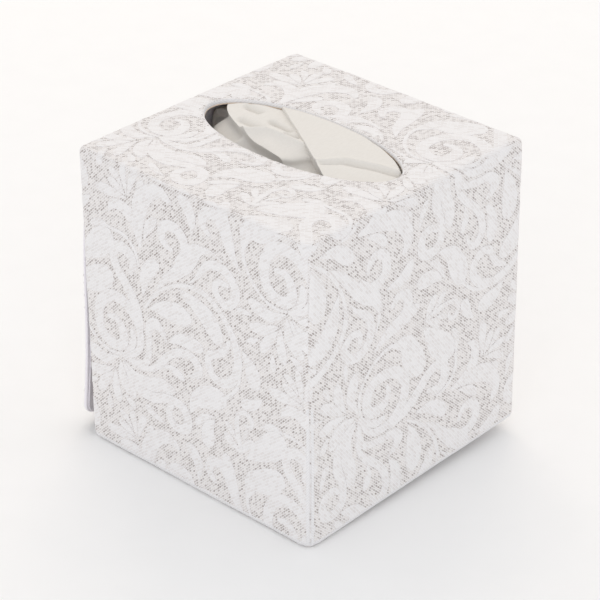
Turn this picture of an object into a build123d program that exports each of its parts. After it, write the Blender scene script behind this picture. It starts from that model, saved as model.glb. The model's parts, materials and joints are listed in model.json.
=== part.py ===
"""Cloth-covered tissue box with a slot in its top, a lined loading flap and folded tissues inside.

The box stands on z = 0 with the origin under its middle. +X is its right side, -Y its front and
the loading flap hangs on its left side, at -X.
"""
import os
from math import cos, radians, sin

from build123d import *

# Driving dimensions, in millimetres and degrees
box_width = 125.0            # left to right
box_depth = 125.0            # front to back
box_height = 135.0
cover_wall = 1.8             # stiffened cloth: board wrapped in woven cloth
lining_wall = 0.5            # plain inner cloth, glued to the wall
box_edge_radius = 3.0        # soft outer edges of the wrapped board

slot_end_margin = 12.5       # the oval slot runs from left to right, this far short of the sides
slot_width = 41.5
slot_offset = 2.6            # the slot lies a little behind the middle of the top
slot_rim_radius = 1.3        # cloth rolled over the board's cut edge

flap_header = 5.0            # fixed strip above the flap
flap_side_gap = 1.5          # between the flap's edges and the lined walls
flap_foot_gap = 1.5          # between the flap's lower edge and the lined floor
flap_hinge_gap = 0.8         # width of the bare cloth hinge
flap_corner_radius = 6.0
flap_edge_radius = 0.7
flap_lining_margin = 1.2     # the lining stops short of the flap's turned edges
flap_rest_angle = 4.5        # how far the flap hangs open

stack_height = 94.0          # tissues that are left in the box
stack_clearance = 3.0        # around the stack
stack_fold_radius = 5.0      # rounded folds along the stack's front and back

tissue_clearance = 0.6       # between the risen tissues and the lined top
tissue_twist = 31.0          # the tissues stand turned in the slot
tissue_split = 0.8           # where the two tissues part, across their length
tissue_gap = 0.3             # between the two tissues
tissue_overlap = 1.2         # the leading tissue lies this much higher at the split
tissue_crease = 1.0          # depth of a soft crease
tissue_fall = 9.0            # the sheets' ends turn down this far below their folds
tissue_foot = 0.5            # length of a tissue's foot, as a share of its length at the top

# Sizes that follow from them
lined_wall = cover_wall + lining_wall
left_face = -box_width / 2
floor_top = lined_wall
roof_under = box_height - lined_wall
inner_half_depth = box_depth / 2 - lined_wall
hinge_z = box_height - flap_header - flap_hinge_gap / 2
flap_top = hinge_z - flap_hinge_gap / 2
flap_bottom = lined_wall + flap_foot_gap
flap_width = 2 * (inner_half_depth - flap_side_gap)
stack_top = floor_top + stack_height
tissue_top = roof_under - tissue_clearance
slot_length = box_width - 2 * slot_end_margin
slot_reach = slot_width / 2


def block(low, high):
    """Box between two corners."""
    size = [b - a for a, b in zip(low, high)]
    middle = [(a + b) / 2 for a, b in zip(low, high)]
    return Pos(*middle) * Box(*size)


def hollow(skin):
    """Space inside the box, left open over the flap's doorway, at a depth of skin in the walls."""
    room = block(
        (left_face + skin, -box_depth / 2 + skin, skin),
        (box_width / 2 - skin, box_depth / 2 - skin, box_height - skin),
    )
    doorway = block(
        (left_face - box_edge_radius, -box_depth / 2 + skin, skin),
        (left_face + 2 * lined_wall, box_depth / 2 - skin, box_height - flap_header),
    )
    return room + doorway


def slot_cutter():
    """Oval prism through the top."""
    oval = Ellipse(slot_length / 2, slot_width / 2)
    return extrude(Pos(0, slot_offset, roof_under - lined_wall) * oval, 3 * lined_wall)


def make_cover_shell():
    """Top, floor, front, right and back walls, sewn as one, with the rolled slot."""
    shell = Box(box_width, box_depth, box_height, align=(Align.CENTER, Align.CENTER, Align.MIN))
    shell = fillet(shell.edges(), box_edge_radius)
    shell = shell - hollow(cover_wall) - slot_cutter()
    top_plane = shell.faces().sort_by(Axis.Z)[-1]
    rim = top_plane.inner_wires()[0].edges()
    return fillet(rim, slot_rim_radius)


def make_cover_lining():
    """Plain cloth on the inner faces, open at the doorway and at the slot."""
    outside = block(
        (left_face + cover_wall, -box_depth / 2 + cover_wall, cover_wall),
        (box_width / 2 - cover_wall, box_depth / 2 - cover_wall, box_height - cover_wall),
    )
    return outside - hollow(lined_wall) - slot_cutter()


def flap_panel(thickness, inset, face_x):
    """Upright panel with rounded lower corners, whose outer face lies at face_x."""
    width = flap_width - 2 * inset
    length = flap_top - flap_bottom - 2 * inset
    radius = flap_corner_radius - inset
    outline = Rectangle(width, length)
    outline = fillet(outline.vertices().group_by(Axis.Y)[0], radius)
    plane = Plane(
        origin=(face_x, 0, (flap_top + flap_bottom) / 2),
        x_dir=(0, -1, 0),
        z_dir=(-1, 0, 0),
    )
    return extrude(plane * outline, -thickness)


def hang(panel):
    """Swing a closed flap piece out to where it hangs."""
    hinge = Axis((left_face, 0, hinge_z), (0, 1, 0))
    return panel.rotate(hinge, flap_rest_angle)


def make_side_flap():
    """Board wrapped in cloth, hinged along its upper edge by the cloth itself."""
    panel = flap_panel(cover_wall, 0, left_face)
    rims = panel.faces().filter_by(Axis.X)
    panel = fillet([e for f in rims for e in f.edges()], flap_edge_radius)
    return hang(panel)


def make_flap_lining():
    """Plain cloth on the flap's inner face."""
    return hang(flap_panel(lining_wall, flap_lining_margin, left_face + cover_wall))


def make_tissue_stack():
    """Interfolded tissues as one block, with rounded folds at front and back."""
    length = box_width - 2 * lined_wall - 2 * stack_clearance
    depth = 2 * (inner_half_depth - stack_clearance)
    stack = Pos(0, 0, floor_top) * Box(
        length, depth, stack_height, align=(Align.CENTER, Align.CENTER, Align.MIN)
    )
    return fillet(stack.edges().filter_by(Axis.X), stack_fold_radius)


def folded_tissue(stations):
    """Sheet bunched between straight creases, from its outline at each station across it.

    A station is its place across the tissue and the outline there, as places along the tissue,
    in shares of half the slot's length, with their drop below the highest fold. The outline is
    closed on the stack.
    """
    along = (cos(radians(tissue_twist)), -sin(radians(tissue_twist)))
    across = (-along[1], along[0])
    outlines = []
    for place, folds in stations:
        points = [(share * slot_length / 2, tissue_top - drop) for share, drop in folds]
        points += [(tissue_foot * points[end][0], stack_top) for end in (-1, 0)]
        outlines.append(make_face(Polyline(
            [
                (s * along[0] + place * across[0], slot_offset + s * along[1] + place * across[1], z)
                for s, z in points
            ],
            close=True,
        )))
    return loft(outlines, ruled=True)


def make_following_tissue():
    """Crumpled tissue at the left: level behind its ridge, falling away in front of it."""
    edge = -1.05 * slot_reach
    middle = -0.6 * slot_reach
    split = tissue_split - tissue_gap
    level = tissue_overlap
    dip = level + tissue_crease
    valley = level + 2 * tissue_crease
    end = tissue_fall
    return folded_tissue([
        (edge, [(-0.94, end), (-0.84, valley), (-0.7, dip), (-0.58, valley), (-0.48, valley), (-0.16, end)]),
        (middle, [(-1, end), (-0.92, level), (-0.74, dip), (-0.56, level), (-0.36, level), (0.06, end)]),
        (split, [(-1, end), (-0.92, level), (-0.72, level), (-0.5, dip), (-0.26, level), (0.1, end)]),
    ])


def make_leading_tissue():
    """Smooth tissue at the right: a low dome with one fold and a lip in front of it."""
    near = 0.55 * slot_reach
    middle = 1.1 * slot_reach
    far = 1.62 * slot_reach
    dip = tissue_crease
    lip = 2 * tissue_crease
    low = 4 * tissue_crease
    end = tissue_fall
    return folded_tissue([
        (tissue_split, [(-0.96, end), (-0.88, dip), (-0.28, 0), (0.12, dip), (0.22, lip), (0.3, end)]),
        (near, [(-0.84, end), (-0.74, 0), (-0.2, 0), (0.26, dip), (0.32, lip), (0.6, low)]),
        (middle, [(-0.64, end), (-0.52, dip), (-0.08, 0), (0.4, dip), (0.46, lip), (0.74, low)]),
        (far, [(-0.28, end), (-0.16, lip), (0.08, dip), (0.5, lip), (0.58, low), (0.7, end)]),
    ])


nodes = {
    "cover_shell": make_cover_shell(),
    "cover_lining": make_cover_lining(),
    "side_flap": make_side_flap(),
    "flap_lining": make_flap_lining(),
    "tissue_stack": make_tissue_stack(),
    "following_tissue": make_following_tissue(),
    "leading_tissue": make_leading_tissue(),
}

os.makedirs("parts", exist_ok=True)
for name, solid in nodes.items():
    export_step(solid, f"parts/{name}.step")
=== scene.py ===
"""Cloth-covered tissue box: woven scroll cloth, a lined loading flap and folded tissues in the slot.

Places are in metres in the part's own frame. The woven figure is drawn in millimetres of flat cloth.
"""
import json
from collections import namedtuple
from math import ceil, cos, exp, pi, radians, sin

import bmesh
import bpy
import numpy as np
from mathutils import Matrix, Vector, geometry, noise


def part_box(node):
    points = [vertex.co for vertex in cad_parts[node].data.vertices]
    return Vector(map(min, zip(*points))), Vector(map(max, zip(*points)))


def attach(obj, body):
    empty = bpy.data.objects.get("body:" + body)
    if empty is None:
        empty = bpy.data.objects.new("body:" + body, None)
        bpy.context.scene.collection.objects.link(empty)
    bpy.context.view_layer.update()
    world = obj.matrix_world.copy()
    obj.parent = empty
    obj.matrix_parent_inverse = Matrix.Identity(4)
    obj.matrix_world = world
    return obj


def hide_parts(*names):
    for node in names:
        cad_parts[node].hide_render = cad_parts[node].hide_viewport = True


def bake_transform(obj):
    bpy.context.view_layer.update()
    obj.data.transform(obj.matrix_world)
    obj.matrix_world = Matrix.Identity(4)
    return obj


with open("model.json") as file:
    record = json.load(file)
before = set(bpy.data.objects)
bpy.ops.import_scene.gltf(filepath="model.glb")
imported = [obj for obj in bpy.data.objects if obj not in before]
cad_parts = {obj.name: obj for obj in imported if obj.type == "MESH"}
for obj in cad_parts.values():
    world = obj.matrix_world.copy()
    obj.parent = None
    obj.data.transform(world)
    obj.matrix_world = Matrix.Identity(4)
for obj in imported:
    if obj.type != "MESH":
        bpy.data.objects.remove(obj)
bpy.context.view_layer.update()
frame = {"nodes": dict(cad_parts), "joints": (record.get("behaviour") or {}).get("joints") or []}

MM = 0.001

# Sizes of the box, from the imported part
_, shell_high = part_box("cover_shell")
half_width = shell_high.x
half_depth = shell_high.y
box_height = shell_high.z
stack_low, stack_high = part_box("tissue_stack")
hinge = Vector(frame["joints"][0]["pos_m"])
flap_rest_angle = radians(-frame["joints"][0]["range_deg"][0])

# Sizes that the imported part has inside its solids
cover_wall = 1.8 * MM
lining_wall = 0.5 * MM
box_edge_radius = 3.0 * MM
slot_half_length = 50.0 * MM
slot_half_width = 20.75 * MM
slot_offset = 2.6 * MM
slot_rim_radius = 1.3 * MM
flap_half_width = 58.7 * MM
flap_corner_radius = 6.0 * MM
flap_header = 5.0 * MM          # fixed strip above the flap
flap_bottom = 3.8 * MM
hinge_half_gap = 0.4 * MM
flap_top = hinge.z - hinge_half_gap
tissue_clearance = 0.6 * MM     # between the risen tissues and the lined top
tissue_top = box_height - cover_wall - lining_wall - tissue_clearance
tissue_twist = radians(31)      # the tissues stand turned in the slot

# Softness of the box
corner_lift = 5.0 * MM          # the rear right corner of the foot stands off the table
corner_tuck = 1.6 * MM          # the front right corner of the foot is drawn in
corner_reach = 7.0 * MM         # over this much of the foot
ripple_height = 0.28 * MM       # uneven board and cloth
ripple_length = 34.0 * MM
ripple_seed = 5                 # one fixed unevenness
noise.seed_set(ripple_seed)
top_crown = 0.3 * MM            # the tissues push the middle of the top up
top_slide = Vector((-1.6, -1.4, 0)) * MM    # and its slack cloth has slid to the left and forwards
crown_depth = 12.0 * MM         # the push and the slide fade this far below the top
crown_square = (8, 6)           # and towards its edges, the more squarely the higher these powers are
flap_wave = 1.0 * MM            # the flap is not quite flat
body_cell = 7.0 * MM            # cut of the body's mesh, so that it can follow those shapes
board_crease = radians(35)      # edges that turn more than this stay crisp
merge_gap = 2e-6                # metres between corners that are one

# Woven figure
figure_height = 0.14 * MM       # satin floats stand proud of the ground weave
figure_sink = 0.08 * MM         # and start below it
stroke_step = 1.0               # mm of cloth between the points of an outline
repeat_drop = 111.5             # mm of cloth from one figure to the same one below it
repeat_across = 94.0            # mm to the next column, which is dropped by half
repeat_columns = range(-3, 4)   # repeats that can reach a panel
repeat_rows = range(-4, 5)
hem_height = 3.0                # mm of smooth turned cloth at the foot
flap_hem = 1.2                  # mm of the flap's edges without figure
edge_rounding = (0.5, 1.1, 1.8, 2.4, 3.0)    # mm from a panel's edge, cuts where the cloth bends round it
facing = 0.7                    # a face looks along an axis where its normal's share of it is over this


# Cloth figure: each band is its centre-line's points, with its width there, in mm of flat cloth
GREAT_SPIRAL = (
    (21, 86.8, 1.5), (27, 84.8, 2.5), (31.5, 81, 3.2), (32.9, 76, 3.7), (32.3, 70.5, 4),
    (29.5, 66, 4.8), (25.5, 62.5, 5.2), (20, 61, 5.2), (14.5, 62.2, 5.2), (10.5, 66, 5.2),
    (8.4, 72, 5.2), (9, 78, 5), (12.5, 82.3, 5), (18.3, 83.6, 4.8), (22.5, 81, 4.8), (22.9, 76.5, 4.8),
    (21.3, 72.8, 4), (18.5, 71, 3), (14.5, 71.5, 2),
)
INNER_HOOK = (
    (21.5, 87, 1.5), (28, 88, 3), (34, 86.3, 3.5), (37, 81.5, 3.2), (37.8, 74, 3.2), (38, 68.5, 4),
    (41.5, 65, 5.5), (45, 66.5, 4), (48, 70.5, 1),
)
OUTER_HOOK = (
    (31, 89.3, 1), (38, 87, 2.5), (43, 83, 3.5), (47, 78.5, 3.5), (51.5, 74.5, 3.6), (57, 72.2, 4),
    (62, 72, 4.2), (65.7, 75, 4), (65.3, 78.8, 3), (60.5, 81.2, 1),
)
LOWER_CURL = (
    (22, 90, 1), (26, 96, 3.5), (32, 99.5, 5), (39, 100, 5), (45, 97.8, 4.2), (50, 96.8, 4),
    (55.5, 97.4, 4.2), (58.8, 101.5, 4.5), (58, 106.5, 4.5), (53.5, 108.7, 4.2), (49, 106.8, 3.8),
    (48, 102.5, 3.4), (50, 99.5, 2),
)
LEFT_CURL = (
    (33, 73, 3), (32.6, 66, 4.4), (30, 59, 5), (25.5, 53, 5), (20.5, 47.5, 4.8), (18.7, 42, 4.6),
    (20.3, 38, 4.8), (24.5, 36.8, 5.4), (28.8, 38.8, 5.2), (30, 43, 4.2), (28, 47, 2),
)
MIDDLE_CURL = (
    (43.5, 48, 0.5), (47, 43.5, 3), (52, 39, 4.5), (57, 34.5, 6), (59.8, 29.5, 5.5), (60, 24, 4.8),
    (58, 18.7, 4.8), (53.5, 16.8, 4.8), (48.5, 18.5, 4.4), (47, 23, 4), (49, 26.3, 3), (52.5, 27.5, 2),
)
LONG_PLUME = (
    (57, 34, 8), (62, 27.5, 8.5), (66, 23, 6), (71, 21, 2.8), (76, 21.2, 1.5), (81, 22.8, 0.5),
)
RIGHT_CURL = (
    (62, 38.5, 0.5), (66, 34.5, 1.8), (69, 30.5, 3), (72.5, 27, 4), (77.5, 25.5, 4.2), (83, 27, 4.4),
    (86.8, 32, 4.6), (86, 37.5, 4.4), (81.5, 41, 3.8), (77.5, 38.8, 3.4), (76, 35, 3.2), (78, 32, 2.8),
    (82.5, 32, 2),
)
GREAT_ARC = (
    (36, 60, 0.8), (41, 53, 1.5), (47, 47, 1.6), (55, 42.3, 1.6), (62, 40.3, 1.8), (69, 40.2, 2.4),
    (75, 42.5, 2.6), (80, 46.5, 2.8), (84.3, 52, 3.2), (87, 58, 3.8), (88, 64, 4.2), (86.6, 70, 4.2),
    (83, 75, 4), (78, 77, 4), (73.5, 75.3, 3.9), (71.2, 71, 3.8), (72.3, 67, 3.6), (76, 64.8, 3.4),
    (80.3, 62, 3), (83, 57, 2),
)
TALL_PLUME = (
    (34.7, 33, 1), (34.6, 25, 4), (34.8, 16.5, 8), (37.5, 10, 8), (43, 5.6, 6.4), (48, 4.6, 5),
    (52.3, 6.8, 2.5),
)
SIDE_PLUME = (
    (34.5, 33, 1), (32.5, 25, 4), (29, 20, 6), (24, 18.2, 5), (19.5, 19.2, 4), (17, 22.8, 1.2),
)
SMALL_CURL = (
    (80, 8.5, 3), (78.5, 4.8, 5), (74.5, 3.8, 5), (70.8, 6, 4.4), (70.3, 10, 3.8), (73.5, 13.3, 2),
)
CLOSED_CURL = (
    (88.5, 105, 1.5), (86.9, 98, 2.8), (86.4, 91, 2.2), (87.8, 86.7, 2.2), (91.3, 85.3, 2.4),
    (94.6, 87.5, 2.2), (93.8, 90.6, 2), (91, 91, 1),
)
LEAF_STALK = (
    (13, 30, 1), (19, 30.3, 1.6), (25.5, 30.8, 1.6), (30, 33.8, 1.6), (32.5, 38, 1.5), (33.3, 42, 1),
)
LOWER_STALK = (
    (91, 13, 2), (92.3, 19.5, 1.5), (96.5, 26, 1.4), (102, 30.3, 1.4), (108, 32, 1.5),
    (114, 31.3, 1.2),
)
SPRAY_STALK = ((89, 68, 1), (87.9, 74, 1.5), (84.5, 79, 1.6), (80.3, 83, 2))
BANDS = (
    GREAT_SPIRAL, INNER_HOOK, OUTER_HOOK, LOWER_CURL, LEFT_CURL, MIDDLE_CURL, LONG_PLUME, RIGHT_CURL,
    GREAT_ARC, TALL_PLUME, SIDE_PLUME, SMALL_CURL, CLOSED_CURL, LEAF_STALK, LOWER_STALK, SPRAY_STALK,
)

# Cloth figure: each leaf has its greatest width and its rib's points, from its fine base to its round tip
LOWER_FAN = (
    (5.8, ((20, 88.3), (12, 92.2), (5, 91.2), (-0.3, 89.3))),
    (4.8, ((16, 95), (8, 99.3), (0, 100.7))),
    (4.8, ((15.5, 97), (10, 104), (6.3, 109.8))),
    (4.8, ((17, 95), (16.9, 103.3), (18.6, 110.8))),
    (6.2, ((20.2, 89.6), (21.8, 98), (28.5, 104.5))),
    (3.2, ((12.4, 108.5), (13, 116))),
    (2.8, ((5.5, 104.5), (-1, 108))),
    (3.4, ((21.5, 105.5), (25, 107.3), (28.2, 110))),
    (2.4, ((2, 95.8), (-2.5, 95.6), (-6.5, 96))),
)
UPPER_FAN = (
    (4.8, ((28, 13.6), (18, 13.7), (10, 14))),
    (3.8, ((27.5, 12.5), (21.5, 9.6), (17.5, 7.8))),
    (3.2, ((26, 9.5), (22, 5), (18.3, 3))),
    (3.4, ((28, 12), (26.8, 6), (25.3, -1.5))),
    (3.6, ((29, 12), (31, 5), (33.8, -0.5))),
    (2.6, ((33, 7.5), (38.3, 3))),
)
SPRAY = (
    (3.8, ((88, 105), (83.5, 102), (78.8, 99.2))),
    (3, ((86, 100), (83, 96.5), (80, 93.5))),
    (2.2, ((89.5, 99), (92.3, 92))),
    (3.8, ((89, 105), (91.5, 100), (96.3, 97))),
)
SINGLE_LEAVES = (
    (3.6, ((22, 86), (26.5, 82), (28.6, 77.5), (28, 72.3))),
    (6.5, ((22.5, 89), (29, 93.8), (37, 94.5), (44, 92.3), (52.3, 92.3))),
    (3.2, ((46, 110), (39, 108), (34.2, 105.3))),
    (3.8, ((45.5, 83), (51, 82), (57.6, 84.6))),
    (6.8, ((35.3, 54.8), (36.5, 46), (40, 40.5), (44.8, 36))),
    (9.6, ((38.5, 58.8), (50, 55.6), (62.6, 55.5))),
    (9.2, ((55, 43.7), (66, 47.5), (73, 52), (78.6, 60.5))),
    (6.4, ((49, 70.5), (57, 66.2), (68.8, 65.9))),
    (4.2, ((36.8, 29), (40, 21.8), (44.6, 16.9))),
    (6.6, ((90, 24), (85.5, 18), (82.3, 9), (79.5, -2.8))),
    (5.8, ((64.2, 17), (64, 9.5), (61.5, 5), (57, 2.2))),
    (10.2, ((60.3, 98.8), (63.5, 91.5), (70, 87), (81, 83.3))),
    (3.4, ((74.3, 94), (68, 97), (62.8, 102.6))),
    (7.2, ((74, 95.5), (70.5, 101), (69.8, 110.6))),
    (7.8, ((90.3, 57.5), (95, 64), (97, 73))),
    (5.2, ((100.8, 75.2), (96, 79.5), (88.8, 82.3))),
    (3.2, ((112, 86.5), (106, 85.6), (99.6, 88.3))),
    (11.8, ((91, 106.5), (99, 100), (105, 95), (112, 87.8))),
    (11.4, ((91, 126), (94, 116.5), (101, 113), (112, 106.8))),
)
LEAVES = LOWER_FAN + UPPER_FAN + SPRAY + SINGLE_LEAVES


# Places of the two colours and the result on a node that mixes colours
MIX_A, MIX_B, MIX_RESULT = 6, 7, 2


def linear(hex_colour):
    """Linear colour of an sRGB hex value."""
    parts = [int(hex_colour[i:i + 2], 16) / 255 for i in (1, 3, 5)]
    return [c / 12.92 if c <= 0.04045 else ((c + 0.055) / 1.055) ** 2.4 for c in parts] + [1.0]


def add_node(material, kind, inputs=(), **settings):
    """Add a node with its settings, and set or link its inputs by name or number."""
    tree = material.node_tree
    made = tree.nodes.new(kind)
    for name, value in settings.items():
        setattr(made, name, value)
    for name, value in dict(inputs).items():
        if isinstance(value, bpy.types.NodeSocket):
            tree.links.new(value, made.inputs[name])
        else:
            made.inputs[name].default_value = value
    return made


def new_material(name, **constants):
    """Material with one principled shader, whose constants are set on its own sockets."""
    made = bpy.data.materials.new(name)
    made.use_nodes = True
    shader = made.node_tree.nodes["Principled BSDF"]
    for socket, value in constants.items():
        shader.inputs[socket.replace("_", " ")].default_value = value
    return made, shader


def drive(material, shader, colour, height, distance):
    """Link a colour and a bump height to the shader."""
    bump = add_node(material, "ShaderNodeBump", {"Strength": 1.0, "Distance": distance, "Height": height})
    material.node_tree.links.new(colour, shader.inputs["Base Color"])
    material.node_tree.links.new(bump.outputs["Normal"], shader.inputs["Normal"])


def ground_weave():
    """Heathered twill ground of a jacquard: pale warp with short grey-brown weft dashes in slanting rows."""
    made, shader = new_material(
        "jacquard_ground_weave", Roughness=0.9, Sheen_Weight=0.15, Sheen_Roughness=0.5,
    )
    # Dashes in mm of cloth, drawn coarser than the real threads so that they show
    dash_length = 1.65
    row_pitch = 0.92
    dash_relief = 0.04 * MM
    heather_pitch = 1.4286
    twill_angle = radians(45)
    cloth = add_node(made, "ShaderNodeUVMap", uv_map="cloth_mm")
    turned = add_node(made, "ShaderNodeMapping", {
        "Vector": cloth.outputs["UV"], "Rotation": (0, 0, twill_angle),
    })
    dashes = add_node(made, "ShaderNodeTexBrick", {
        "Vector": turned.outputs["Vector"], "Color1": linear("#5f4536"), "Color2": linear("#e4dfdc"),
        "Mortar": linear("#f2f0f0"), "Scale": 1.0, "Mortar Size": 0.16, "Mortar Smooth": 0.3, "Bias": 0.3,
        "Brick Width": dash_length, "Row Height": row_pitch,
    }, offset=0.37, offset_frequency=2)
    heather = add_node(made, "ShaderNodeTexNoise", {
        "Vector": turned.outputs["Vector"], "Scale": 1 / heather_pitch, "Detail": 3.0, "Roughness": 0.7,
    })
    faded = add_node(made, "ShaderNodeMapRange", {
        "Value": heather.outputs["Fac"], "From Min": 0.38, "From Max": 0.62, "To Min": 0.0, "To Max": 0.4,
    })
    colour = add_node(made, "ShaderNodeMix", {
        "Factor": faded.outputs["Result"], MIX_A: dashes.outputs["Color"], MIX_B: linear("#f1efef"),
    }, data_type="RGBA")
    drive(made, shader, colour.outputs[MIX_RESULT], dashes.outputs["Fac"], dash_relief)
    return made


def figure_weave():
    """Satin figure of a jacquard: smooth off-white floats with a faint slanting rib and a little sheen."""
    made, shader = new_material(
        "jacquard_satin_figure", Roughness=0.75, Sheen_Weight=0.2, Sheen_Roughness=0.4,
    )
    # Ribs in mm of cloth, drawn coarser than the real ones so that they show
    rib_pitch = 1.1
    float_length = 2.64
    rib_relief = 0.05 * MM
    rib_angle = radians(38)
    cloth = add_node(made, "ShaderNodeUVMap", uv_map="cloth_mm")
    turned = add_node(made, "ShaderNodeMapping", {
        "Vector": cloth.outputs["UV"], "Rotation": (0, 0, rib_angle),
    })
    ribs = add_node(made, "ShaderNodeTexBrick", {
        "Vector": turned.outputs["Vector"], "Color1": linear("#dfdad8"), "Color2": linear("#eeecec"),
        "Mortar": linear("#f2f1f2"), "Scale": 1.0, "Mortar Size": 0.2, "Mortar Smooth": 0.6, "Bias": 0.3,
        "Brick Width": float_length, "Row Height": rib_pitch,
    }, offset=0.5)
    drive(made, shader, ribs.outputs["Color"], ribs.outputs["Fac"], rib_relief)
    return made


def turned_edge():
    """Cloth rolled over a board's edge: stretched smooth, so its pale warp shows as faint slanting ribs. Its
    pale colour without weft dashes is partly painted highlight, where rounded edges catch the light.
    """
    made, shader = new_material(
        "turned_edge_with_painted_highlight", Roughness=0.85, Sheen_Weight=0.15, Sheen_Roughness=0.5,
    )
    # Ribs in mm of cloth, drawn coarser than the real ones so that they show
    rib_pitch = 0.9
    rib_relief = 0.04 * MM
    rib_angle = radians(45)
    wave_rate = 20    # radians of the wave in a unit of length, at a scale of 1
    cloth = add_node(made, "ShaderNodeUVMap", uv_map="cloth_mm")
    turned = add_node(made, "ShaderNodeMapping", {
        "Vector": cloth.outputs["UV"], "Rotation": (0, 0, rib_angle),
    })
    ribs = add_node(made, "ShaderNodeTexWave", {
        "Vector": turned.outputs["Vector"], "Scale": 2 * pi / (wave_rate * rib_pitch),
        "Distortion": 1.5, "Detail": 2.0,
    }, bands_direction="Y")
    colour = add_node(made, "ShaderNodeMix", {
        "Factor": ribs.outputs["Fac"], MIX_A: linear("#e3e2e3"), MIX_B: linear("#eeedee"),
    }, data_type="RGBA")
    drive(made, shader, colour.outputs[MIX_RESULT], ribs.outputs["Fac"], rib_relief)
    return made


def plain_lining(name, thread, gap):
    """Plain-weave polyester lining: matt, with a fine square thread grid."""
    made, shader = new_material(name, Roughness=0.8, Sheen_Weight=0.1, Sheen_Roughness=0.5)
    thread_pitch = 0.9    # mm, drawn coarser than the real threads so that they show
    gap_relief = -0.03 * MM
    place = add_node(made, "ShaderNodeTexCoord")
    grid = add_node(made, "ShaderNodeTexVoronoi", {
        "Vector": place.outputs["Object"], "Scale": 1 / (thread_pitch * MM), "Randomness": 0.25,
    }, distance="CHEBYCHEV")
    colour = add_node(made, "ShaderNodeMix", {
        "Factor": grid.outputs["Distance"], MIX_A: linear(thread), MIX_B: linear(gap),
    }, data_type="RGBA")
    drive(made, shader, colour.outputs[MIX_RESULT], grid.outputs["Distance"], gap_relief)
    return made


def tissue_paper():
    """Two-ply facial tissue: warm white, soft and matt, with fine crepe lines."""
    made, shader = new_material("creped_tissue_paper", Roughness=0.95, Sheen_Weight=0.1)
    crepe_pitch = 0.6    # mm, drawn coarser than the real crepe so that it shows
    crepe_stretch = (1, 0.25, 1)
    crepe_relief = 0.06 * MM
    place = add_node(made, "ShaderNodeTexCoord")
    stretched = add_node(made, "ShaderNodeMapping", {
        "Vector": place.outputs["Object"], "Rotation": (0, 0, tissue_twist), "Scale": crepe_stretch,
    })
    crepe = add_node(made, "ShaderNodeTexNoise", {
        "Vector": stretched.outputs["Vector"], "Scale": 1 / (crepe_pitch * MM),
        "Detail": 3.0, "Roughness": 0.6,
    })
    colour = add_node(made, "ShaderNodeMix", {
        "Factor": crepe.outputs["Fac"], MIX_A: linear("#dfdbd5"), MIX_B: linear("#eae7e2"),
    }, data_type="RGBA")
    drive(made, shader, colour.outputs[MIX_RESULT], crepe.outputs["Fac"], crepe_relief)
    return made


def studio_floor():
    """Seamless white paper roll: matt, with a barely clouded surface."""
    made, shader = new_material("white_paper_floor", Roughness=0.9)
    cloud_size = 16.667    # mm
    cloud_relief = 0.02 * MM
    place = add_node(made, "ShaderNodeTexCoord")
    clouds = add_node(made, "ShaderNodeTexNoise", {
        "Vector": place.outputs["Object"], "Scale": 1 / (cloud_size * MM), "Detail": 2.0,
    })
    colour = add_node(made, "ShaderNodeMix", {
        "Factor": clouds.outputs["Fac"], MIX_A: linear("#f7f7f7"), MIX_B: linear("#fafafa"),
    }, data_type="RGBA")
    drive(made, shader, colour.outputs[MIX_RESULT], clouds.outputs["Fac"], cloud_relief)
    return made


ground = ground_weave()
figure = figure_weave()
# Pale edge cloth: partly smooth turned cloth, partly painted highlight on rounded edges
edge_cloth_and_painted_highlight = turned_edge()
# The flap lining is white cloth tinted lavender: painted cool shade, as on the lining where the open flap
# stands in shadow
flap_lining = plain_lining("white_flap_lining_painted_cool_shade", "#f4f1f6", "#e8e4ec")
# The box lining is white cloth tinted beige: painted warm shade, so the shaded inside of the slot looks brown
box_lining = plain_lining("box_lining_painted_warm_shade", "#f0ddc8", "#e2cdb6")
tissue = tissue_paper()


def new_piece(name, bm, materials):
    """Object at the origin from a finished bmesh."""
    mesh = bpy.data.meshes.new(name)
    bm.to_mesh(mesh)
    bm.free()
    for material in materials:
        mesh.materials.append(material)
    piece = bpy.data.objects.new(name, mesh)
    bpy.context.scene.collection.objects.link(piece)
    return piece


def ease(t):
    """Smooth step from 0 to 1."""
    t = min(max(t, 0), 1)
    return t * t * (3 - 2 * t)


def settle(point):
    """Where a point of the stiff box lies on the soft one.

    One foot corner is lifted and one drawn in, the top is pushed up and slid, and all of it ripples.
    """
    share_x = (point.x + half_width) / (2 * half_width)
    share_y = (point.y + half_depth) / (2 * half_depth)
    share_z = 1 - point.z / box_height
    lift = corner_lift * share_x * share_y * max(share_z, 0)
    bow = 1 - (point.x / half_width) ** crown_square[0]
    bow *= 1 - (point.y / half_depth) ** crown_square[1]
    push = max(bow, 0) * ease(1 - (box_height - point.z) / crown_depth)
    shift = Vector((0, 0, lift + top_crown * push)) + top_slide * push
    off_corner = (half_width - point.x + half_depth + point.y) / corner_reach
    draw = corner_tuck * ease(1 - off_corner) * ease(1 - point.z / corner_reach)
    shift += draw * Vector((-1, 1, 0))
    return point + shift + ripple_height * noise.noise_vector(point / ripple_length)


def swing(point):
    """Where a point of the closed flap lies on the hanging one, with its slight wave."""
    drop = (hinge.z - point.z) / (hinge.z - flap_bottom)
    waved = point - Vector((flap_wave * sin(2 * pi * drop) * ease(2 * drop), 0, 0))
    return hinge + Matrix.Rotation(flap_rest_angle, 3, "Y") @ (waved - hinge)


def swing_back(point):
    """Where a point of the packed, straight-hung flap lies on the closed one."""
    return hinge + Matrix.Rotation(-flap_rest_angle, 3, "Y") @ (point - hinge)


def deform(bm, move):
    """Move every vertex of a bmesh."""
    for v in bm.verts:
        v.co = move(v.co.copy())


def mark_sharp(bm, angle):
    """Smooth faces with sharp edges where they turn by more than an angle."""
    for f in bm.faces:
        f.smooth = True
    for e in bm.edges:
        e.smooth = len(e.link_faces) == 2 and e.calc_face_angle(0) < angle


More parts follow.
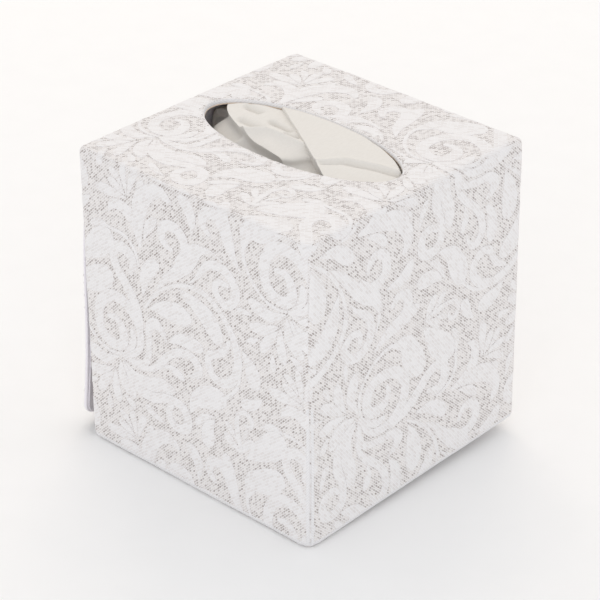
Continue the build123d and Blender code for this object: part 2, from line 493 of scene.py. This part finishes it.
def cut_cells(bm, low, high, cell, axes):
    """Cut a mesh by evenly spaced planes across the given axes."""
    for axis in axes:
        cuts = ceil((high[axis] - low[axis]) / cell)
        for i in range(1, cuts):
            place = Vector()
            place[axis] = low[axis] + (high[axis] - low[axis]) * i / cuts
            normal = Vector()
            normal[axis] = 1
            everything = bm.verts[:] + bm.edges[:] + bm.faces[:]
            bmesh.ops.bisect_plane(bm, geom=everything, plane_co=place, plane_no=normal)


def node_copy(name, cell, straighten=None):
    """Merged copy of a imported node's mesh, cut into cells so that it can bend."""
    bm = bmesh.new()
    bm.from_mesh(frame["nodes"][name].data)
    bmesh.ops.remove_doubles(bm, verts=bm.verts, dist=merge_gap)
    if straighten:
        deform(bm, straighten)
    cut_cells(bm, *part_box(name), cell, range(3))
    return bm


# Panels of cloth: where each one's lower left corner lies, its directions, and how it was cut from the cloth
Cut = namedtuple("Cut", "x y turned")
Panel = namedtuple("Panel", "corner right up width height cut")
X, Y, Z = Vector((1, 0, 0)), Vector((0, 1, 0)), Vector((0, 0, 1))
wide = 2 * half_width / MM
deep = 2 * half_depth / MM
tall = box_height / MM
front_panel = Panel(Vector((-half_width, -half_depth, 0)), X, Z, wide, tall, Cut(0, 0, False))
right_panel = Panel(Vector((half_width, -half_depth, 0)), Y, Z, deep, tall, Cut(116, 65.5, True))
back_panel = Panel(Vector((half_width, half_depth, 0)), -X, Z, wide, tall, Cut(40, 25, False))
top_panel = Panel(Vector((-half_width, -half_depth, box_height)), X, Y, wide, deep, Cut(0.3, 101.5, False))
left_panel = Panel(Vector((-half_width, half_depth, 0)), -Y, Z, deep, tall, Cut(20, 60, False))
flap_panel = Panel(
    Vector((-half_width, flap_half_width, flap_bottom)), -Y, Z,
    2 * flap_half_width / MM, (flap_top - flap_bottom) / MM, Cut(100, 30, True),
)


def to_panel(point, panel):
    """Place on a panel, from its lower left corner, of a point of the cloth, which counts down."""
    x, y = point
    cut = panel.cut
    if cut.turned:
        return Vector((cut.x - y, panel.height - cut.y - x))
    return Vector((x - cut.x, panel.height - y + cut.y))


def to_cloth(place, panel):
    """Point of the cloth, counted down, at a place on a panel."""
    x, y = place
    cut = panel.cut
    if cut.turned:
        return Vector((panel.height - y - cut.y, cut.x - x))
    return Vector((x + cut.x, panel.height - y + cut.y))


def smooth_line(points, spacing):
    """Steps along the smooth line through a few points."""
    handle_part = 6    # a handle is this part of the step between the points on either side
    ends = [2 * points[0] - points[1], *points, 2 * points[-1] - points[-2]]
    line = []
    for before, start, end, after in zip(ends, ends[1:], ends[2:], ends[3:]):
        steps = max(2, round((end - start).length / spacing))
        lead = start + (end - before) / handle_part
        trail = end - (after - start) / handle_part
        line += geometry.interpolate_bezier(start, lead, trail, end, steps + 1)[:-1]
    return [*line, points[-1]]


def stroke_outline(line, widths):
    """Closed outline of a stroke of changing width along a line, round at a blunt end."""
    blunt = 0.3    # mm, least half width of an end that is rounded
    last = len(line) - 1
    left = []
    right = []
    for i, (point, width) in enumerate(zip(line, widths)):
        ahead = (line[min(i + 1, last)] - line[max(i - 1, 0)]).normalized()
        side = Vector((-ahead.y, ahead.x)) * width / 2
        left.append(point + side)
        right.append(point - side)
    cap = []
    if side.length > blunt:
        for turn in (pi / 4, pi / 2, 3 * pi / 4):
            cap.append(line[-1] + side * cos(turn) + ahead * side.length * sin(turn))
    return left + cap + right[::-1]


def band_outline(points):
    """Scroll band along its centre-line."""
    line = smooth_line([Vector(p) for p in points], stroke_step)
    return stroke_outline([p.xy for p in line], [p.z for p in line])


def leaf_outline(width, points):
    """Leaf with a fine base, its belly beyond the middle and a round tip."""
    base, tip = 1.0, 0.5
    belly = base / (base + tip)
    fullest = belly ** base * (1 - belly) ** tip
    line = smooth_line([Vector(p) for p in points], stroke_step)
    shares = [i / (len(line) - 1) for i in range(len(line))]
    return stroke_outline(line, [width * t ** base * (1 - t) ** tip / fullest for t in shares])


TILE = [band_outline(band) for band in BANDS] + [leaf_outline(*leaf) for leaf in LEAVES]


def panel_strokes(panel):
    """Outlines of the figure on a panel, repeated as the cloth repeats it."""
    found = []
    for column in repeat_columns:
        half_drop = (column % 2) * repeat_drop / 2
        for row in repeat_rows:
            shift = Vector((column * repeat_across, row * repeat_drop + half_drop))
            for outline in TILE:
                placed = np.array([to_panel(p + shift, panel) for p in outline])
                low, high = placed.min(0), placed.max(0)
                if high[0] > 0 and high[1] > 0 and low[0] < panel.width and low[1] < panel.height:
                    found.append(placed)
    return found


def winds_round(outline, points):
    """How often an outline winds round each point."""
    x, y = points[:, :1], points[:, 1:]
    x0, y0 = outline.T
    x1, y1 = np.roll(x0, -1), np.roll(y0, -1)
    left = (x1 - x0) * (y - y0) - (x - x0) * (y1 - y0)
    up = (y0 <= y) & (y < y1) & (left > 0)
    down = (y1 <= y) & (y < y0) & (left < 0)
    return up.sum(1) - down.sum(1)


def grid_lines(panel, cell, edge_steps):
    """Straight lines over a panel, closer together near its edges, as pairs of ends."""
    lines = []
    for size, across in ((panel.width, False), (panel.height, True)):
        count = ceil(size / cell)
        places = {size * i / count for i in range(count + 1)}
        places |= set(edge_steps) | {size - step for step in edge_steps}
        for place in sorted(places):
            if across:
                lines.append(((0, place), (panel.width, place)))
            else:
                lines.append(((place, 0), (place, panel.height)))
    return lines


def cloth_triangles(panel, outlines, guides, keep, cell, edge_steps):
    """Triangles of a panel that lie in the outlines and pass a test, cut along guides too.

    They are flat points and lists of their corners.
    """
    all_triangles = 0
    weld = 1e-4
    points = []
    edges = []
    for outline in [*outlines, *guides]:
        first = len(points)
        count = len(outline)
        points += [Vector(p) for p in outline]
        edges += [(first + i, first + (i + 1) % count) for i in range(count)]
    for start, end in grid_lines(panel, cell, edge_steps):
        edges.append((len(points), len(points) + 1))
        points += [Vector(start), Vector(end)]
    flat, _, faces, *_ = geometry.delaunay_2d_cdt(points, edges, [], all_triangles, weld)
    corners = np.array([p[:] for p in flat])
    triangles = np.array(faces)
    middles = corners[triangles].mean(1)
    chosen = np.zeros(len(triangles), bool)
    for outline in outlines:
        near = ((middles > outline.min(0)) & (middles < outline.max(0))).all(1)
        spots = np.flatnonzero(near & ~chosen)
        if len(spots):
            chosen[spots] = winds_round(outline, middles[spots]) != 0
    chosen &= ((middles > 0) & (middles < (panel.width, panel.height))).all(1)
    chosen &= keep(middles)
    return corners, triangles[chosen]


def cloth_patch(panel, outlines, wrap, keep, height=figure_height, cell=6.0, edge_steps=(), guides=()):
    """Thin closed patches of cloth on a panel, wrapped on to its piece."""
    patch_crease = radians(40)
    corners, triangles = cloth_triangles(panel, outlines, guides, keep, cell, edge_steps)
    bm = bmesh.new()
    cloth = bm.loops.layers.uv.new("cloth_mm")
    verts = {}
    for i in np.unique(triangles):
        verts[i] = bm.verts.new((*corners[i], 0))
    for triangle in triangles:
        bm.faces.new([verts[i] for i in triangle])
    bmesh.ops.recalc_face_normals(bm, faces=bm.faces)
    if bm.faces and sum(f.normal.z for f in bm.faces) < 0:
        bmesh.ops.reverse_faces(bm, faces=bm.faces)
    base = bm.faces[:]
    raised = bmesh.ops.extrude_face_region(bm, geom=base, use_keep_orig=True)["geom"]
    bmesh.ops.reverse_faces(bm, faces=base)
    top = {v for v in raised if isinstance(v, bmesh.types.BMVert)}
    for f in bm.faces:
        for loop in f.loops:
            loop[cloth].uv = to_cloth(loop.vert.co.xy, panel)
    mark_sharp(bm, patch_crease)
    for v in bm.verts:
        flat = panel.corner + (v.co.x * panel.right + v.co.y * panel.up) * MM
        v.co = wrap(flat, height if v in top else -figure_sink)
    return bm


def join(target, part):
    """Add one bmesh to another."""
    mesh = bpy.data.meshes.new("part")
    part.to_mesh(mesh)
    part.free()
    target.from_mesh(mesh)
    bpy.data.meshes.remove(mesh)


def slot_distance(x, y):
    """About how far places on the top lie outside the slot's oval, in metres."""
    y = y - slot_offset
    tiny = 1e-6
    reach = ((x / slot_half_length) ** 2 + (y / slot_half_width) ** 2) ** 0.5 + tiny
    slope = ((x / slot_half_length ** 2) ** 2 + (y / slot_half_width ** 2) ** 2) ** 0.5 / reach + tiny
    return (reach - 1) / slope


def slot_ring(gap):
    """Oval round the slot at a gap from its edge, on the top panel, in millimetres."""
    steps = 160
    points = []
    for i in range(steps):
        turn = 2 * pi * i / steps
        spot = Vector((slot_half_length * cos(turn), slot_half_width * sin(turn)))
        out = Vector((cos(turn) / slot_half_length, sin(turn) / slot_half_width)).normalized()
        points.append((spot + out * gap + Vector((0, slot_offset)) - top_panel.corner.xy) / MM)
    return np.array([p[:] for p in points])


def wrap_box(flat, height):
    """Place at a height over the soft box of a point on the sharp one."""
    inner = Vector((half_width, half_depth, box_height / 2)) - Vector((box_edge_radius,) * 3)
    middle = Vector((0, 0, box_height / 2))
    core = Vector([min(max(a, -b), b) for a, b in zip(flat - middle, inner)]) + middle
    out = (flat - core).normalized()
    place = core + out * (box_edge_radius + height)
    if flat.z > box_height - MM:
        gap = slot_distance(flat.x, flat.y)
        if gap < slot_rim_radius:
            lean = max(gap, 0) - slot_rim_radius
            place.z += (slot_rim_radius ** 2 - lean ** 2) ** 0.5 - slot_rim_radius
    return settle(place)


def wrap_flap(flat, height):
    """Place at a height over the hanging flap of a point on its closed outer face."""
    return swing(flat + Vector((-height, 0, 0)))


def off_slot(panel, margin):
    """Test for places on the top that keep clear of the slot."""
    def keep(middles):
        x = panel.corner.x + middles[:, 0] * MM
        y = panel.corner.y + middles[:, 1] * MM
        return slot_distance(x, y) > margin
    return keep


def within(panel, left=0.0, right=0.0, bottom=0.0, top=0.0):
    """Test for places that keep off a panel's edges, by a margin in millimetres on each side."""
    def keep(middles):
        x, y = middles.T
        return (x > left) & (x < panel.width - right) & (y > bottom) & (y < panel.height - top)
    return keep


def both(first, second):
    """Test that passes where two tests pass."""
    return lambda middles: first(middles) & second(middles)


def strip(left, right, low, high):
    """Upright strip of a panel as an outline, in millimetres."""
    return np.array(((left, low), (right, low), (right, high), (left, high)), float)


# Cover: the body carries the ground weave, and the figure lies on it
def cube_cloth(bm):
    """Cloth places on the body, panel by panel, by the way each face looks."""
    layer = bm.loops.layers.uv.new("cloth_mm")
    panels = (
        (right_panel, X), (back_panel, Y), (left_panel, -X), (front_panel, -Y),
        (top_panel, Z), (top_panel, -Z),
    )
    for f in bm.faces:
        panel = max(panels, key=lambda entry: f.normal.dot(entry[1]))[0]
        for loop in f.loops:
            offset = (loop.vert.co - panel.corner) / MM
            loop[layer].uv = to_cloth((offset.dot(panel.right), offset.dot(panel.up)), panel)


def make_cover():
    """Wrapped board body, with smooth turned cloth in the slot, whose pale colour is partly painted
    highlight.
    """
    slot_foot = box_height - 2 * cover_wall
    bm = node_copy("cover_shell", body_cell)
    mark_sharp(bm, board_crease)
    bm.normal_update()
    cube_cloth(bm)
    for f in bm.faces:
        middle = f.calc_center_median()
        in_slot = middle.z > slot_foot and slot_distance(middle.x, middle.y) < slot_rim_radius
        f.material_index = int(in_slot and abs(f.normal.z) < facing)
    deform(bm, settle)
    piece = new_piece("cover_cloth", bm, [ground, edge_cloth_and_painted_highlight])
    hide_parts("cover_shell")
    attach(piece, "cover")


def make_cover_figure():
    """Satin scrolls on the front, right, back, top and the strip above the flap."""
    rim = 0.3 * MM
    header_foot = left_panel.height - flap_header / MM
    header_strip = strip(0, left_panel.width, header_foot, left_panel.height)
    bm = bmesh.new()
    cuts = (
        (front_panel, within(front_panel, bottom=hem_height), ()),
        (right_panel, within(right_panel, bottom=hem_height), ()),
        (back_panel, within(back_panel, bottom=hem_height), ()),
        (top_panel, off_slot(top_panel, rim), [slot_ring(rim)]),
        (left_panel, within(left_panel, bottom=header_foot), [header_strip]),
    )
    for panel, keep, guides in cuts:
        strokes = panel_strokes(panel)
        join(bm, cloth_patch(panel, strokes, wrap_box, keep, edge_steps=edge_rounding, guides=guides))
    piece = new_piece("cover_scrolls", bm, [figure])
    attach(piece, "cover")


def round_corners(middles):
    """Test for places inside the flap's rounded lower corners."""
    radius = flap_corner_radius / MM
    x = np.minimum(middles[:, 0], flap_panel.width - middles[:, 0])
    past = np.maximum(radius - x, 0) ** 2 + np.maximum(radius - middles[:, 1], 0) ** 2
    return past < (radius - flap_hem) ** 2


def make_flap():
    """Flap board with its scrolls and its lining, waved a little and hung on its hinge."""
    board = node_copy("side_flap", body_cell, swing_back)
    mark_sharp(board, board_crease)
    board.normal_update()
    cube_cloth(board)
    for f in board.faces:
        f.material_index = int(f.normal.x > -facing)
    deform(board, swing)
    piece = new_piece("flap_board", board, [ground, flap_lining])
    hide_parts("side_flap")
    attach(piece, "flap")
    keep = both(within(flap_panel, flap_hem, flap_hem, flap_hem, flap_hem), round_corners)
    scrolls = cloth_patch(flap_panel, panel_strokes(flap_panel), wrap_flap, keep)
    piece = new_piece("flap_scrolls", scrolls, [figure])
    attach(piece, "flap")
    inner = node_copy("flap_lining", body_cell, swing_back)
    mark_sharp(inner, board_crease)
    deform(inner, swing)
    piece = new_piece("flap_inner_cloth", inner, [flap_lining])
    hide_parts("flap_lining")
    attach(piece, "flap")


def make_lining():
    """Plain cloth inside the cover, tinted beige as painted warm shade."""
    bm = node_copy("cover_lining", 2 * body_cell)
    mark_sharp(bm, board_crease)
    deform(bm, settle)
    piece = new_piece("cover_inner_cloth", bm, [box_lining])
    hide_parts("cover_lining")
    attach(piece, "cover")


# Tissues
tissue_along = Vector((cos(tissue_twist), -sin(tissue_twist), 0))
tissue_across = Vector((sin(tissue_twist), cos(tissue_twist), 0))
Crease = namedtuple("Crease", "start end depth width")

# Each row of a tissue runs along it: places along and across, and their drop from the highest fold, in mm
FOLLOWING_ROWS = (
    (
        (-45.8, -16.5, 2.6), (-45.5, -18, 2), (-36, -20.7, 1.8), (-18, -19.7, 1.2), (-7, -16.8, 2.8),
        (6, -11, 4), (9, -11, 7.6), (22, -12, 9.5),
    ),
    (
        (-46.2, -12.5, 2.4), (-45, -13, 1.2), (-34, -14, 1.8), (-23, -14, 1.3), (-13, -13, 0.9),
        (6.5, -7, 4), (9.5, -7, 7.6), (22, -8, 9.5),
    ),
    (
        (-46, -6.5, 2.4), (-44, -6.5, 1), (-34, -7, 1.3), (-21, -7, 1.5), (-9, -6, 0.8), (7, -3, 3.8),
        (10, -3, 7.2), (22, -4, 9),
    ),
    (
        (-47, 3.5, 3.4), (-45.5, 3.5, 2.2), (-35.5, 3.5, 2), (-20, 3.5, 2), (-3, 3.5, 2),
        (7.5, 3.5, 3.8), (10.5, 3.5, 7), (22, 3.5, 9),
    ),
)
LEADING_ROWS = (
    ((-47.5, 0.8, 8), (-42.5, 0.8, 1), (-13.5, 0.8, 0.2), (6, 0.8, 0.6), (16, 0.8, 1.2), (34, 0.8, 3)),
    ((-41.5, 11, 8), (-36.5, 11, 0.6), (-9.5, 11, 0), (12, 11, 0.3), (20.5, 11.5, 0.9), (44, 11, 3)),
    ((-32.5, 22, 8), (-26.5, 22, 1), (-1.5, 22, 0), (18, 22, 0.4), (29, 22, 0.9), (48, 22, 3)),
    ((-17.5, 34, 8), (-11.5, 34, 2), (6.5, 34, 1), (24.5, 34, 1.2), (37, 33, 1.8), (46, 34, 4)),
)
FOLLOWING_CREASES = (
    Crease((-16, -20), (-12, -11), 2.0, 2.2),
    Crease((-12, -11), (2, 0), 2.0, 2.2),
    Crease((-27, -17), (-17, -11.5), -3.2, 1.8),
    Crease((-21, -6), (-11, -1.5), -3.4, 1.3),
    Crease((-7, -4), (-4.5, 0), -2.8, 1.2),
    Crease((-38, -12), (-31, -8), -2.6, 1.4),
)
LEADING_CREASES = (
    Crease((18.6, 1), (21.6, 12), 1.0, 1.5),
    Crease((21.6, 12), (37, 30), 1.2, 1.5),
    Crease((20.5, 3), (23.3, 11), -1.9, 0.8),
    Crease((23.3, 11), (38, 27.5), -2.6, 0.8),
)


def through(values, t):
    """Point at a share t of the way along the smooth line through some values."""
    spans = len(values) - 1
    span = min(int(t * spans), spans - 1)
    u = t * spans - span
    b, c = values[span], values[span + 1]
    a = values[span - 1] if span else 2 * b - c
    d = values[span + 2] if span + 2 <= spans else 2 * c - b
    bend = 2 * a - 5 * b + 4 * c - d
    twist = 3 * b - a - 3 * c + d
    return 0.5 * (2 * b + (c - a) * u + bend * u ** 2 + twist * u ** 3)


def crease_height(place, creases):
    """Height of the creases at a place along and across a tissue, in millimetres."""
    run_out = 0.2       # a crease fades over this share of its length, past each end
    sharpness = 1.3
    ridge = 0
    valley = 0
    for crease in creases:
        start = Vector(crease.start)
        run = Vector(crease.end) - start
        share = (place - start).dot(run) / run.length_squared
        if -run_out < share < 1 + run_out:
            off = (place - start - run * share).length / crease.width
            fade = ease((share + run_out) / run_out) * ease((1 + run_out - share) / run_out)
            height = crease.depth * fade * exp(-off ** sharpness)
            ridge = max(ridge, height)
            valley = min(valley, height)
    return ridge + valley


def make_tissue(name, node, rows_of_folds, creases, lower_fold):
    """Risen tissue: a creased top whose sides step down, slope out to a lower fold and hang to the stack."""
    rows, columns = 90, 170         # of the creased top
    skirt = 28                      # of the sides that hang round it
    foot_share = 0.5                # length on the stack, as a share of that at the top
    foot_curve = 1.5
    crumple_height = 0.25           # mm
    crumple_length = 7.0            # mm
    paper = 0.12 * MM
    rise = 3.0 * MM                 # the tissues swell up into the slot
    rise_run = 1.4 * MM
    wall_clearance = 2.0 * MM
    inner_half_width = half_width - cover_wall - lining_wall - wall_clearance
    # Shares of the way down a side, and of the fall to the stack that each stretch takes
    step_run = 0.12
    slope_start, slope_run, spread_run = 0.1, 0.3, 0.25
    fall_start = 0.35
    side_step, side_slope = 0.05, 0.04
    front_step, front_slope = 0.12, 0.09
    front_rate = 6
    end_spread = 1.7                # the lower fold stands out more at the tissue's end
    folds = [[Vector(place) for place in fold] for fold in zip(*rows_of_folds)]
    bm = bmesh.new()
    bmesh.ops.create_grid(bm, x_segments=columns + 2 * skirt, y_segments=rows + 2 * skirt, size=0.5)
    for v in bm.verts:
        along = (v.co.x + 0.5) * (1 + 2 * skirt / columns) - skirt / columns
        across = (v.co.y + 0.5) * (1 + 2 * skirt / rows) - skirt / rows
        top_along = min(max(along, 0), 1)
        top_across = min(max(across, 0), 1)
        over = max(abs(along - top_along) * columns, abs(across - top_across) * rows) / skirt
        s, n, drop = through([through(fold, top_across) for fold in folds], top_along)
        lift = crease_height(Vector((s, n)), creases)
        lift += crumple_height * noise.noise(Vector((s, n, 0)) / crumple_length)
        z = tissue_top - (drop - lift) * MM
        spot = (s * tissue_along + n * tissue_across) * MM
        z += rise * ease(-slot_distance(spot.x, spot.y + slot_offset) / rise_run)
        in_front = ease(front_rate * max(-across, 0) * rows / skirt)
        step = side_step + (front_step - side_step) * in_front
        slope = side_slope + (front_slope - side_slope) * in_front
        hang = step * ease(over / step_run) + slope * ease((over - slope_start) / slope_run)
        hang += (1 - step - slope) * ease((over - fall_start) / (1 - fall_start))
        z += (stack_high.z - z) * hang
        spot -= (1 - foot_share) * over ** foot_curve * s * tissue_along * MM
        spread = lower_fold * ease((over - slope_start) / spread_run)
        if across < 0:
            spot -= spread * tissue_across
        if along < 0:
            spot -= end_spread * spread * tissue_along
            spot.x = max(spot.x, -inner_half_width)
        v.co = settle(Vector((spot.x, slot_offset + spot.y, z)))
    bmesh.ops.recalc_face_normals(bm, faces=bm.faces)
    if sum(f.normal.z for f in bm.faces) < 0:
        bmesh.ops.reverse_faces(bm, faces=bm.faces)
    for f in bm.faces:
        f.smooth = True
    piece = new_piece(name, bm, [tissue])
    ply = piece.modifiers.new("ply", "SOLIDIFY")
    ply.thickness = paper
    ply.offset = -1
    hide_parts(node)
    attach(piece, "cover")


def make_stack():
    """Tissues that are left: soft leaves, a little out of line, drawn thicker than one tissue to show."""
    leaf = 1.9 * MM
    leaf_fill = 0.96        # of a leaf's share of the stack's height
    leaf_round = 0.4
    leaf_crease = radians(60)
    slip = 0.5 * MM
    slip_change = 0.73      # from leaf to leaf
    low, high = stack_low, stack_high
    count = round((high.z - low.z) / leaf)
    thick = (high.z - low.z) / count
    bm = bmesh.new()
    for i in range(count):
        shift = noise.noise_vector(Vector((0, 0, i * slip_change)))
        size = Vector((high.x - low.x - 2 * slip, high.y - low.y - 2 * slip, thick * leaf_fill))
        place = Vector((slip * shift.x, slip * shift.y, low.z + (i + 0.5) * thick))
        shape = Matrix.Translation(place) @ Matrix.Diagonal((*size, 1))
        made = bmesh.ops.create_cube(bm, size=1, matrix=shape)
        edges = {e for v in made["verts"] for e in v.link_edges}
        rims = [e for e in edges if abs(e.verts[0].co.z - e.verts[1].co.z) < size.z / 2]
        bmesh.ops.bevel(
            bm, geom=rims, offset=thick * leaf_round, offset_type="OFFSET",
            segments=2, profile=0.5, affect="EDGES", material=-1,
        )
    cut_cells(bm, low, high, 3 * body_cell, (0, 1))
    mark_sharp(bm, leaf_crease)
    deform(bm, settle)
    piece = new_piece("tissue_stack_leaves", bm, [tissue])
    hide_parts("tissue_stack")
    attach(piece, "cover")


# The sewn roll is full below the first share of the box's height, and gone above the second
seam_full, seam_gone = 0.25, 0.55


def wrap_seam(flat, height):
    """Place over the front edge of a roll that sinks into the cloth above the middle of the box."""
    share = ease((seam_gone - flat.z / box_height) / (seam_gone - seam_full))
    return wrap_box(flat, height * share - figure_sink * (1 - share))


def make_seam():
    """Sewn front edge: a soft roll on the front and a narrow fold on the right, with a ditch between them.
    The roll's pale colour is partly painted highlight on the rounded edge.
    """
    roll = 1.6              # mm of cloth, as are the next three
    ditch = (0.25, 1.25)
    fold = 2.4
    reach = (0.8, seam_gone * tall)
    height = 0.45 * MM
    bm = bmesh.new()
    strips = (
        (front_panel, strip(front_panel.width - roll, front_panel.width, *reach)),
        (right_panel, strip(0, ditch[0], *reach)),
        (right_panel, strip(ditch[1], fold, *reach)),
    )
    for panel, outline in strips:
        join(bm, cloth_patch(
            panel, [outline], wrap_seam, within(panel), height=height, cell=5.0, edge_steps=edge_rounding,
        ))
    piece = new_piece("front_edge_seam", bm, [edge_cloth_and_painted_highlight])
    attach(piece, "cover")


def make_hem():
    """Foot of the walls, where the cloth is turned under and pulled smooth. Its pale band is partly painted
    highlight of the rounded foot edge.
    """
    low = 0.2    # mm of cloth
    height = 0.05 * MM
    bm = bmesh.new()
    for panel in (front_panel, right_panel, back_panel):
        join(bm, cloth_patch(
            panel, [strip(0, panel.width, low, hem_height)], wrap_box, within(panel), height=height,
            cell=3.0, edge_steps=edge_rounding,
        ))
    piece = new_piece("foot_hem", bm, [edge_cloth_and_painted_highlight])
    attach(piece, "cover")


def make_hinge_strip():
    """Cloth hinge that runs from the strip above the flap down on to the flap."""
    reach = 2.6 * MM
    along, down = 40, 16
    end_margin = 1.0 * MM
    half = flap_half_width - end_margin
    proud = 0.35 * MM
    thick = 0.3 * MM
    bm = bmesh.new()
    bmesh.ops.create_grid(bm, x_segments=along, y_segments=down, size=1)
    for v in bm.verts:
        v.co = Vector((-half_width, half * v.co.x, hinge.z + reach * v.co.y))
    bm.normal_update()
    cube_cloth(bm)
    for v in bm.verts:
        flat = v.co.copy()
        if flat.z > hinge.z:
            v.co = settle(flat - Vector((proud, 0, 0)))
        else:
            v.co = swing(flat - Vector((proud, 0, 0)))
    bmesh.ops.recalc_face_normals(bm, faces=bm.faces)
    if sum(f.normal.x for f in bm.faces) > 0:
        bmesh.ops.reverse_faces(bm, faces=bm.faces)
    for f in bm.faces:
        f.smooth = True
    piece = new_piece("hinge_cloth", bm, [edge_cloth_and_painted_highlight])
    cloth = piece.modifiers.new("cloth", "SOLIDIFY")
    cloth.thickness = thick
    cloth.offset = -1
    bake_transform(piece)


make_cover()
make_cover_figure()
make_seam()
make_hem()
make_lining()
make_flap()
make_hinge_strip()
make_stack()
make_tissue(
    "left_tissue", "following_tissue", FOLLOWING_ROWS, FOLLOWING_CREASES,
    lower_fold=9.0 * MM,
)
make_tissue(
    "right_tissue", "leading_tissue", LEADING_ROWS, LEADING_CREASES,
    lower_fold=0.0,
)


def make_floor():
    """Seamless floor."""
    bm = bmesh.new()
    bmesh.ops.create_grid(bm, x_segments=8, y_segments=8, size=3.0)
    floor = new_piece("floor", bm, [studio_floor()])


def add_light(name, place, aim, size, power, colour):
    """Soft square light that looks at a point."""
    lamp = bpy.data.lights.new(name, "AREA")
    lamp.size = size
    lamp.energy = power
    lamp.color = linear(colour)[:3]
    holder = bpy.data.objects.new(name, lamp)
    holder.location = place
    holder.rotation_euler = (Vector(aim) - Vector(place)).to_track_quat("-Z", "Y").to_euler()
    bpy.context.scene.collection.objects.link(holder)


def make_light():
    """Bright, even studio light: warm from above and behind on the left, cool from the front right."""
    world = bpy.data.worlds.new("studio")
    world.use_nodes = True
    sky = world.node_tree.nodes["Background"]
    sky.inputs["Color"].default_value = linear("#ffffff")
    sky.inputs["Strength"].default_value = 0.85
    bpy.context.scene.world = world
    middle = (0, 0, box_height / 2)
    add_light("key", (-0.9, 0.9, 1.5), middle, size=1.2, power=7.4, colour="#ffeedc")
    add_light("fill", (1.2, -1.4, 0.9), middle, size=1.6, power=5.4, colour="#f4f6ff")
    bpy.context.scene.view_settings.view_transform = "Standard"


def make_camera():
    """Camera of the photograph, worked out from the box's corners in it."""
    place = Vector((0.6155, -0.6453, 0.5663))
    yaw, pitch, roll = radians(-43.708), radians(-29.43), radians(-0.452)
    ahead = Vector((cos(pitch) * sin(yaw), cos(pitch) * cos(yaw), sin(pitch)))
    right = ahead.cross(Z).normalized()
    up = right.cross(ahead)
    across = right * cos(roll) + up * sin(roll)
    above = up * cos(roll) - right * sin(roll)
    lens = bpy.data.cameras.new("camera")
    lens.lens = 150.71
    lens.sensor_width = 36.0
    camera = bpy.data.objects.new("camera", lens)
    turn = Matrix((across, above, -ahead)).transposed().to_4x4()
    camera.matrix_world = Matrix.Translation(place) @ turn
    bpy.context.scene.collection.objects.link(camera)
    bpy.context.scene.camera = camera


make_floor()
make_light()
make_camera()
